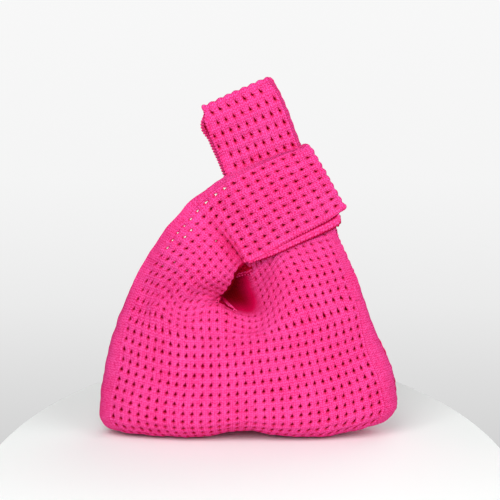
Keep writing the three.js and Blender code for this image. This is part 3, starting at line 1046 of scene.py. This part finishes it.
def mapped(tree, value, limits):
    node = tree.nodes.new("ShaderNodeMapRange")
    for name, limit in limits.items():
        node.inputs[name].default_value = limit
    tree.links.new(value, node.inputs["Value"])
    return node.outputs["Result"]


# %% Height of the stitches
WALES = 2
COURSES = 4
LEG_SLANT = 1.3


def stitches(tree):
    """V-shaped stitches: each column of them has two legs that slant up from its middle."""
    place = tree.nodes.new("ShaderNodeUVMap")
    place.uv_map = "UVMap"
    split = tree.nodes.new("ShaderNodeSeparateXYZ")
    tree.links.new(place.outputs["UV"], split.inputs[0])
    wale = maths(tree, "FRACT", maths(tree, "MULTIPLY", split.outputs["X"], WALES))
    from_middle = maths(tree, "ABSOLUTE", maths(tree, "SUBTRACT", wale, 0.5))
    along = maths(tree, "MULTIPLY", split.outputs["Y"], COURSES)
    slanted = maths(tree, "ADD", along, maths(tree, "MULTIPLY", from_middle, LEG_SLANT))
    leg = maths(tree, "SINE", maths(tree, "MULTIPLY", maths(tree, "FRACT", slanted), math.pi))
    spine = maths(tree, "SINE", maths(tree, "MULTIPLY", from_middle, 2 * math.pi))
    rounded = maths(tree, "POWER", maths(tree, "ADD", spine, 0.02), 0.6)
    return maths(tree, "MULTIPLY", leg, rounded)


# %% Material of the yarn
PINK = (0.96, 0.094, 0.415, 1)
DEEP_PINK = (0.75, 0.001, 0.10, 1)
BAND_PINK = (0.97, 0.092, 0.39, 1)
HOLLOW_SHADE_PINK = (0.52, 0.0004, 0.008, 1)
HALF_SHADE_PINK = (0.55, 0.0008, 0.06, 1)
DEEP_SHADE_RED = (0.17, 0.0003, 0.004, 1)
INNER_SHADE_PINK = (0.38, 0.0006, 0.018, 1)
INNER_PAINTED_GLOW = (1.0, 0.002, 0.04, 1)
GLOW = 0.035
SLOW_SCALE = 34
FUZZ_SCALE = 560
STITCH_TONE = 0.5
SLOW_TONE = 0.35
FUZZ_TONE = 0.9
FUZZ_BUMP = 0.35
BUMP_HEIGHT = 0.0004


def yarn_material(name, colour):
    material = bpy.data.materials.new(name)
    material.use_nodes = True
    tree = material.node_tree
    shader = tree.nodes["Principled BSDF"].inputs
    stitch = stitches(tree)
    slow = noise(tree, SLOW_SCALE)
    fuzz = noise(tree, FUZZ_SCALE)

    # painted shade: the gaps between the stitch legs go towards DEEP_PINK; the two noises add real shifts of
    # tone
    depth = maths(tree, "MULTIPLY", stitch, STITCH_TONE)
    depth = maths(tree, "ADD", depth, maths(tree, "MULTIPLY", slow, SLOW_TONE))
    depth = maths(tree, "ADD", depth, maths(tree, "MULTIPLY", fuzz, FUZZ_TONE))
    tone = mapped(tree, depth, {"From Min": 0.44, "From Max": 1.18})
    knit = mixed(tree, tone, DEEP_PINK, colour)
    # painted shade in and round the eyelets, and in the groove above each
    hollow = maths(tree, "MULTIPLY", maths(tree, "POWER", attribute(tree, "hollow"), 1.2), 0.97)
    knit = mixed(tree, hollow, knit, HOLLOW_SHADE_PINK)
    # painted shade of the mouth, folds, rims and gaps between loops: deep pink at half strength, dark red at
    # full
    mouth = maths(tree, "MULTIPLY", attribute(tree, "mouth"), 2)
    dark = mixed(tree, maths(tree, "SUBTRACT", mouth, 1), HALF_SHADE_PINK, DEEP_SHADE_RED)
    knit = mixed(tree, mouth, knit, dark)
    # painted shade on the inside of the bag, with a faint painted glow
    inner = attribute(tree, "inner")
    put(tree, shader["Base Color"], mixed(tree, inner, knit, INNER_SHADE_PINK))
    put(tree, shader["Emission Color"], INNER_PAINTED_GLOW)
    put(tree, shader["Emission Strength"], maths(tree, "MULTIPLY", inner, GLOW))

    bump = tree.nodes.new("ShaderNodeBump")
    bump.inputs["Strength"].default_value = 1
    bump.inputs["Distance"].default_value = BUMP_HEIGHT
    put(tree, bump.inputs["Height"], maths(tree, "ADD", stitch, maths(tree, "MULTIPLY", fuzz, FUZZ_BUMP)))
    put(tree, shader["Normal"], bump.outputs["Normal"])
    put(tree, shader["Roughness"], mapped(tree, stitch, {"To Min": 0.95, "To Max": 0.78}))
    put(tree, shader["Specular IOR Level"], 0.02)
    return material


eyelet_yarn = yarn_material("pink eyelet yarn", PINK)
plain_yarn = yarn_material("pink plain yarn", BAND_PINK)
print("yarns:", eyelet_yarn.name, "and", plain_yarn.name)


def dress(sheet, yarn):
    sheet.data.materials.clear()
    sheet.data.materials.append(yarn)


# %% [markdown]
# ## Front and back of the pouch
# Each is one sheet of 31 columns and 18 rows. Its lowest rows run in under the base, where they end at the
# base band, so the first eyelets show only where the cloth turns up at the corners.
# The back hangs slack and its eyelets are nearly shut, so no daylight shows through the front's.

# %% Front and back panels
FIRST_CLIMB = 5.0
FIRST_ROW = -1
SHUT = 0.14
LIT_FROM_ROW = 10
LIT_COLUMNS = 2
LEFT_MOUTH = (10.5, 13)
RIGHT_MOUTH = (11, 14.5)
MOUTH_MIDDLE = 13.5


def panel(name, side, node):
    columns = np.arange(COLUMNS) + 0.5
    rows = np.arange(FIRST_ROW, BODY_ROWS) + 0.3
    has_hole = climb_at(side, columns[None, :], rows[:, None]) > FIRST_CLIMB
    openness = np.ones(has_hole.shape)
    if side == BACK:
        openness[:] = SHUT
        openness[LIT_FROM_ROW - FIRST_ROW :, :LIT_COLUMNS] = 1
    s, t, relief, holes, hollow = eyelet_grid(FIRST_ROW, BODY_ROWS, COLUMNS, has_hole, openness)
    relief = relief * ease(0, 4, climb_at(side, s, t))
    mouth = None
    # painted shade where the front turns into the mouth
    if side == FRONT:
        left_mouth = mouth_depth(s, t, *LEFT_MOUTH)
        right_mouth = mouth_depth(COLUMNS - s, t, *RIGHT_MOUTH)
        mouth = np.where(s < MOUTH_MIDDLE, left_mouth, right_mouth)
    lined = np.ones(s.shape)

    def surface(u, v):
        return body_point(side, u, v)

    sheet = lay_sheet(name, surface, s, t, relief, -side, holes, hollow, lined, mouth)
    dress(sheet, eyelet_yarn)
    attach(sheet, "bag")
    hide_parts(node)


panel("pouch_front", FRONT, "front_panel")
panel("pouch_back", BACK, "back_panel")

# %% [markdown]
# ## Plain side bands and the base band
# The sides are knitted plain, without eyelets, and so is the band under the bag.
# They are smooth sheets with the same stitches, on the same rings, up to the foot of the slits.


def side_point(is_right, offset, row):
    climb = np.asarray(row, float) * ROW_PITCH
    ring = climb / CLIMB_STEP
    offset = offset + side_turn(is_right, climb)
    point = np.empty(offset.shape + (3,))
    for side in (FRONT, BACK):
        length = np.interp(ring, np.arange(len(RING_LENGTHS[side])), RING_LENGTHS[side])
        share = np.abs(offset) / length
        share = 1 - share if is_right else share
        laid = look_up(RINGS[side], ring, share * RUN_STEPS)
        here = offset >= 0 if side == FRONT else offset < 0
        point[here] = laid[here]
    return point


def side_band(name, is_right, node):
    offset, row = np.meshgrid(np.linspace(-INSET, INSET, 25), np.linspace(0, SLIT_ROW, 150))
    offset = offset if not is_right else -offset
    pitch = BAND_WIDTH / BAND_COLUMNS
    inner = ease(0.55 * INSET, INSET, np.abs(offset))
    edge_column = COLUMNS if is_right else 0
    edge_rows = np.linspace(-4, BODY_ROWS, EDGE_SAMPLES)
    edge_climb = climb_at(FRONT, np.full(EDGE_SAMPLES, edge_column), edge_rows)
    edge_row = np.interp(row * ROW_PITCH, edge_climb, edge_rows)
    relief = (COLUMN_PILLOW + ROW_PILLOW * np.cos(2 * math.pi * edge_row)) * inner * ease(0, 0.6, row)

    def surface(u, v):
        return side_point(is_right, u * pitch, v)

    sheet = lay_sheet(name, surface, offset / pitch, row, relief, 1, lined=np.ones(row.shape))
    dress(sheet, plain_yarn)
    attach(sheet, "bag")
    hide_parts(node)


side_band("left_side", False, "left_side_band")
side_band("right_side", True, "right_side_band")

# %% Base band
BASE_COLUMN = 7.5
BASE_ROW = 8.5


def base_band():
    """A flat strip from the lowest ring's front to its back."""
    along, across = np.meshgrid(np.linspace(0, 1, 161), np.linspace(-1, 1, 21))
    lowest = np.zeros(along.shape)
    front = look_up(RINGS[FRONT], lowest, along * RUN_STEPS)
    back = look_up(RINGS[BACK], lowest, along * RUN_STEPS)
    share = across[..., None] * 0.5 + 0.5
    point = front * (1 - share) + back * share
    sheet = grid_sheet("base", point, point[..., 0] / BASE_COLUMN, point[..., 1] / BASE_ROW)
    close_sheet(sheet, None, True, CLOTH)
    dress(sheet, plain_yarn)
    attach(sheet, "bag")
    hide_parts("base_band")


base_band()

# %% [markdown]
# ## The two straps
# Each strap is one ribbon in three sheets: the eyelet knit, the plain band on its outer edge and the
# cast-off edging on its inner edge. The short strap stretches between pouch and keeper when the keeper
# slides, and the long strap bends at the fold line; here their sheets are only baked in place.

# %% Ends of the fold line, and sheets baked in place
FOLD_HALF = 10


fold_from = in_frame(HANDLE_TILT, 0.0, -LOOP_RADIUS, FOLD_LINE - FOLD_HALF)
fold_to = in_frame(HANDLE_TILT, 0.0, -LOOP_RADIUS, FOLD_LINE + FOLD_HALF)


def join_left(sheet):
    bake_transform(sheet)


def join_right(sheet):
    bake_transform(sheet)


# %% Eyelet knit of the straps
EDGE_MARGIN = 0.32
HIDDEN_ROWS = 8
FOLD_SHADE = 0.3
FOLD_SHADE_ROW = 26.3


def strap_knit(name, surface, edge, stops, outward, join, nodes, shut_rows, mouth):
    first, last = int(stops[0]), int(stops[-1])
    rows = np.arange(first, last)
    widest = int(np.ceil(float(np.max(edge(np.linspace(first, last, EDGE_SAMPLES))))))
    columns = np.arange(widest) + 0.5
    narrowest = np.minimum(edge(rows + 0.2), edge(rows + 0.8))
    has_hole = columns[None, :] < narrowest[:, None] - EDGE_MARGIN
    folded = (rows >= stops[2]) & (rows < stops[3])
    has_hole &= ~folded[:, None]
    beside = (rows == stops[2] - 1) | (rows == stops[3])
    has_hole[beside, 0] = False
    has_hole[rows < BODY_ROWS + HIDDEN_ROWS, int(mouth[0]) + 1 :] = False
    openness = np.ones(has_hole.shape)
    openness[(rows >= shut_rows[0]) & (rows < shut_rows[1])] = SHUT
    s, t, relief, holes, hollow = eyelet_grid(first, last, widest, has_hole, openness)
    s = np.minimum(s, edge(t))
    # painted shade deep in the mouth
    depth = mouth_depth(s, t, *mouth)
    # painted shade along the crease between the left shoulder and the keeper
    fold = FOLD_SHADE * hill(FOLD_SHADE_ROW, 0.9, t) * ease(1, 7, s) if outward > 0 else 0
    relief = relief * (1 - depth)
    # the inside is painted as shade; between the shoulders the mark rises to 3, for a stronger painted glow
    lined = 1 + 2 * (ease(stops[1] + 1, stops[1] + 3, t) - ease(stops[4] - 3, stops[4] - 1, t))
    sheet = lay_sheet(name, surface, s, t, relief, outward, holes, hollow, lined, np.maximum(depth, fold))
    dress(sheet, eyelet_yarn)
    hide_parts(*nodes)
    join(sheet)
    cells = float(np.sum(edge(rows + 0.5)))


KEEPER_NODES = ["left_shoulder_front", "left_shoulder_back", "keeper_front", "keeper_back", "keeper_end"]
HANDLE_NODES = [
    "right_shoulder_front", "right_shoulder_back", "handle_stem_front", "handle_stem_back",
    "grip_front", "grip_back", "grip_top",
]
strap_knit(
    "short_strap", left_point, left_edge, LEFT_STOPS, 1, join_left, KEEPER_NODES,
    LEFT_STOPS[3:5], LEFT_MOUTH,
)
strap_knit(
    "long_strap", right_point, right_edge, RIGHT_STOPS, -1, join_right, HANDLE_NODES,
    (RIGHT_STOPS[3], RIGHT_LAST), RIGHT_MOUTH,
)

# %% Plain bands on the outer edges
STEPS_PER_ROW = 10
KEEPER_SCALLOP = 0.1
HANDLE_SCALLOP = 0.3


def strap_band(name, surface, start, last_row, outward, join, nodes, scallop):
    end = last_row - start
    count = int((end - start) * STEPS_PER_ROW)
    s, t = np.meshgrid(np.linspace(-BAND_COLUMNS, 0, 11), np.linspace(start, end, count))
    share = 1 + s / BAND_COLUMNS
    s = s - scallop * (0.5 + 0.5 * np.cos(2 * math.pi * t)) * (1 - share) ** 2
    relief = (COLUMN_PILLOW + ROW_PILLOW * np.cos(2 * math.pi * t)) * ease(0.35, 1, share)
    sheet = lay_sheet(name, surface, s, t, relief, outward)
    dress(sheet, plain_yarn)
    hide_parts(*nodes)
    join(sheet)


def band_nodes(nodes, ending):
    """Each stretch has a band and an edging; the folds at the ends have none."""
    return [node + ending for node in nodes if not node.endswith(("_end", "_top"))]


strap_band(
    "short_strap_band", left_point, slit_row(0), LEFT_LAST, 1, join_left,
    band_nodes(KEEPER_NODES, "_band"), KEEPER_SCALLOP,
)
strap_band(
    "long_strap_band", right_point, slit_row(COLUMNS), RIGHT_LAST, -1, join_right,
    band_nodes(HANDLE_NODES, "_band"), HANDLE_SCALLOP,
)

# %% [markdown]
# ## Cast-off edges
# A cast-off row is a chain of slanted loops that rolls up into a thin rope.
# It is a narrow strip here, rounded across and knobbly along, with shade between the loops.
# Laid flat, the strip is as wide as the rope's width and thickness together, times the fullness of its loops.
# The keeper's front edge has a second thickness of knit below it, which belongs to the same sheet.

# %% A rope of loops
ROPE_PERIOD = 2.5
ROPE_ROUND = 0.6
ROPE_KNOBS = 0.5
ROPE_SHADE = 0.7
ROPE_THICK = 2.2
EDGING_WIDTH = 4
LOOP_FULLNESS = 1.3
ROLLED_EDGE = LOOP_FULLNESS * (EDGING_WIDTH + ROPE_THICK) * MM


def knob(share, run):
    return np.sin(2 * math.pi * (run / ROPE_PERIOD + 0.35 * share))


def rope(share, run):
    """A chain of slanted loops: round across, knobbly along."""
    round_over = np.sqrt(np.clip(1 - (2 * share - 1) ** 2, 0, 1))
    return ROPE_ROUND * round_over + ROPE_KNOBS * knob(share, run) * round_over


def rope_shade(share, run):
    """The gaps between the loops are in shade."""
    return ROPE_SHADE * (0.5 - 0.5 * knob(share, run)) ** 2 * ease(0.1, 0.6, share)


# %% The keeper's second edge
HEM_LEFT = -40
HEM_RIGHT = 44.2
HEM_ROUND_FROM = 39
HEM_ROUND = 5.4
HEM_OVERLAP = 1.4
HEM_BEHIND = 0.5
HEM_HEIGHT = -33
HEM_NOTCH = 0.5
HEM_CUT = (0.0094, 0.084)
hem_low = soft_line([-50, -40, -22, 45, 55], [-37.5, -37.6, -40, -41, -41])


def hem():
    """A second thickness of knit that shows below the keeper's front edge."""
    x, v = np.meshgrid(np.linspace(HEM_LEFT, HEM_RIGHT, 330), np.linspace(0, 1, 14))

    def surface(column, w):
        u = column * KEEPER_PITCH
        end = np.sqrt(np.clip(1 - ((u - HEM_ROUND_FROM) / HEM_ROUND) ** 2, 0, 1))
        deep = (keeper_low(u) - hem_low(u)) * np.where(u > HEM_ROUND_FROM, end, 1)
        notch = HEM_NOTCH * np.sin(2 * math.pi * u / ROPE_PERIOD) * w**2
        z = keeper_low(u) + HEM_OVERLAP - (deep + HEM_OVERLAP) * w + notch
        y = HEM_BEHIND - keeper_out(u, HEM_HEIGHT, FRONT)
        return in_frame(KEEPER_TILT, u, y, z)

    across = np.clip((v - 0.5) / 0.5, 0, 1)
    # painted shade between the loops, painted shadow just below the keeper's front edge, and a painted shadow
    # line along the hem's lower edge
    shade = np.maximum(0.7 * rope_shade(across, x), 0.9 * (1 - ease(0.26, 0.48, v)))
    shade = np.maximum(shade, 0.9 * ease(0.88, 0.96, v))
    return lay_sheet("keeper_hem", surface, x / KEEPER_PITCH, v, rope(across, x), -1, mouth=shade)


# %% Edgings along the straps
EDGE_SCALLOP = 0.12


def strap_edging(name, surface, edge, wide, stops, outward, join, nodes, count, second=None):
    first, last = float(stops[0]), float(stops[-1])
    t = np.linspace(first, last, count)
    share = np.linspace(0, 1, 8)
    s = edge(t)[:, None] + share[None, :] * wide
    t = np.repeat(t[:, None], len(share), axis=1)
    middle = surface(s[:, 4], t[:, 4])
    run = run_along(*np.diff(middle, axis=0).T)
    s = s + EDGE_SCALLOP * np.sin(2 * math.pi * run / ROPE_PERIOD)[:, None] * share[None, :] ** 2
    relief = pillow(s, t) * (1 - ease(0, 0.4, share))[None, :] + rope(share[None, :], run[:, None])
    is_long = outward < 0
    # painted shade where the edging runs into the mouth, and in the gaps between its loops
    last_dark = BODY_ROWS + (10 if is_long else 7)
    in_mouth = ease(BODY_ROWS + 0.5, BODY_ROWS + 3, t) * (1 - ease(last_dark, last_dark + 2, t))
    shade = rope_shade(share[None, :], run[:, None]) * (0.3 if is_long else 1)
    mouth = np.maximum(in_mouth, shade)
    sheet = lay_sheet(name, surface, s, t, relief, outward, mouth=mouth, thickness=ROPE_THICK)
    if second is not None:
        second.select_set(True)
        sheet.select_set(True)
        bpy.context.view_layer.objects.active = sheet
        bpy.ops.object.join()
    dress(sheet, plain_yarn)
    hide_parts(*nodes)
    join(sheet)
    length = float(run[-1]) * MM
    area = ROLLED_EDGE * length
    if second is not None:
        area += HEM_CUT[0] * HEM_CUT[1]


strap_edging(
    "short_strap_edging", left_point, left_edge, KEEPER_EDGING / KEEPER_PITCH, LEFT_STOPS, 1, join_left,
    band_nodes(KEEPER_NODES, "_edging"), 1400, hem(),
)
strap_edging(
    "long_strap_edging", right_point, right_edge, HANDLE_EDGING / HANDLE_PITCH, RIGHT_STOPS, -1, join_right,
    band_nodes(HANDLE_NODES, "_edging"), 1750,
)

# %% [markdown]
# ## The rim of the mouth
# Between the straps the last row of the pouch is cast off too, at the front and at the back.

# %% Mouth edgings
RIM_SHADE = 0.9


def mouth_edging(name, side, node):
    start = LEFT_ROOT[side]
    end = COLUMNS - RIGHT_ROOT[side]
    s, share = np.meshgrid(np.linspace(start, end, 90), np.linspace(0, 1, 8))
    t = BODY_ROWS + share * EDGING_WIDTH / ROW_PITCH
    run = (s - start) * BAND_WIDTH / BAND_COLUMNS
    relief = pillow(s, t) * (1 - ease(0, 0.4, share)) + rope(share, run)

    def surface(u, v):
        return body_point(side, u, v)

    # the whole rim is painted in deep shade, as it lies in the mouth
    shade = np.full(s.shape, RIM_SHADE)
    sheet = lay_sheet(name, surface, s, t, relief, -side, mouth=shade, thickness=ROPE_THICK)
    dress(sheet, plain_yarn)
    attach(sheet, "bag")
    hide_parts(node)


mouth_edging("mouth_rim_front", FRONT, "front_mouth_edging")
mouth_edging("mouth_rim_back", BACK, "back_mouth_edging")

# %% [markdown]
# ## Studio: table, light and camera
# The bag stands on a small pale table top, in front of a wall that gets a little darker towards the floor.
# Soft light comes from high in front, a little from the left. The camera sees the wall as a plain
# gradient, while the light that the room gives is white and even.

# %% Table top
TABLE = (0.885, 0.92, 0.905, 1)
TABLE_RADII = (0.212, 0.42, 1)
TABLE_PLACE = (0, -0.14, 0)


def table_material():
    material = bpy.data.materials.new("pale table")
    material.use_nodes = True
    shader = material.node_tree.nodes["Principled BSDF"]
    shader.inputs["Base Color"].default_value = TABLE
    shader.inputs["Roughness"].default_value = 0.9
    shader.inputs["Specular IOR Level"].default_value = 0.1
    return material


bpy.ops.object.select_all(action="DESELECT")
bpy.ops.mesh.primitive_circle_add(vertices=128, radius=1, fill_type="NGON", location=(0, 0, 0))
floor = bpy.context.object
floor.name = "floor"
floor.scale = TABLE_RADII
floor.location = TABLE_PLACE
bpy.ops.object.transform_apply(location=True, rotation=False, scale=True)
floor.data.materials.append(table_material())

# %% Wall and room light
SKY_LIGHT = 0.3
WALL = [(-0.272, 0.65), (-0.24, 0.725), (-0.2, 0.83), (-0.168, 0.875), (-0.137, 0.91), (-0.047, 0.935)]
world = bpy.data.worlds.new("studio")
bpy.context.scene.world = world
world.use_nodes = True
sky = world.node_tree.nodes
sky_link = world.node_tree.links.new
sky["Background"].inputs["Color"].default_value = (1, 1, 1, 1)
sky["Background"].inputs["Strength"].default_value = SKY_LIGHT
direction = sky.new("ShaderNodeTexCoord")
height = sky.new("ShaderNodeSeparateXYZ")
sky_link(direction.outputs["Generated"], height.inputs[0])
along_wall = sky.new("ShaderNodeMapRange")
along_wall.inputs["From Min"].default_value = WALL[0][0]
along_wall.inputs["From Max"].default_value = WALL[-1][0]
sky_link(height.outputs["Z"], along_wall.inputs["Value"])
ramp = sky.new("ShaderNodeValToRGB")
stops = ramp.color_ramp.elements
while len(stops) < len(WALL):
    stops.new(0.5)
for stop, (z, level) in zip(stops, WALL):
    stop.position = (z - WALL[0][0]) / (WALL[-1][0] - WALL[0][0])
    stop.color = (level, level, level, 1)
sky_link(along_wall.outputs["Result"], ramp.inputs["Fac"])
backdrop = sky.new("ShaderNodeBackground")
sky_link(ramp.outputs["Color"], backdrop.inputs["Color"])
seen = sky.new("ShaderNodeLightPath")
mix = sky.new("ShaderNodeMixShader")
sky_link(seen.outputs["Is Camera Ray"], mix.inputs["Fac"])
sky_link(sky["Background"].outputs["Background"], mix.inputs[1])
sky_link(backdrop.outputs["Background"], mix.inputs[2])
sky_link(mix.outputs["Shader"], sky["World Output"].inputs["Surface"])

# %% Lamps
LIGHT_AIM = np.array([0, 0, 0.13])


def soft_box(name, place, size, power):
    bpy.ops.object.light_add(type="AREA", location=place)
    lamp = bpy.context.object
    lamp.name = name
    lamp.data.size = size
    lamp.data.energy = power
    aim = LIGHT_AIM - np.array(place)
    yaw = math.atan2(aim[1], aim[0]) - math.pi / 2
    pitch = math.atan2(aim[2], math.hypot(aim[0], aim[1])) + math.pi / 2
    lamp.rotation_euler = (pitch, 0, yaw)


soft_box("key light", (-0.32, -0.95, 0.82), 1.0, 12.9)
soft_box("fill light", (1.1, -1.0, 0.8), 1.3, 12.5)
soft_box("back light", (0.7, 1.2, 1.2), 1.4, 7)

# %% Camera
ELEVATION = math.radians(10)
DISTANCE = 1.6
AIM = np.array([0.0013, 0, 0.1571])
SENSOR = 36
LENS = 138.3
eye = AIM + DISTANCE * np.array([0, -math.cos(ELEVATION), math.sin(ELEVATION)])
bpy.ops.object.camera_add(location=eye, rotation=(math.pi / 2 - ELEVATION, 0, 0))
camera = bpy.context.object
camera.name = "camera"
camera.data.sensor_width = SENSOR
camera.data.lens = LENS
bpy.context.scene.camera = camera
bpy.context.scene.view_settings.view_transform = "Standard"
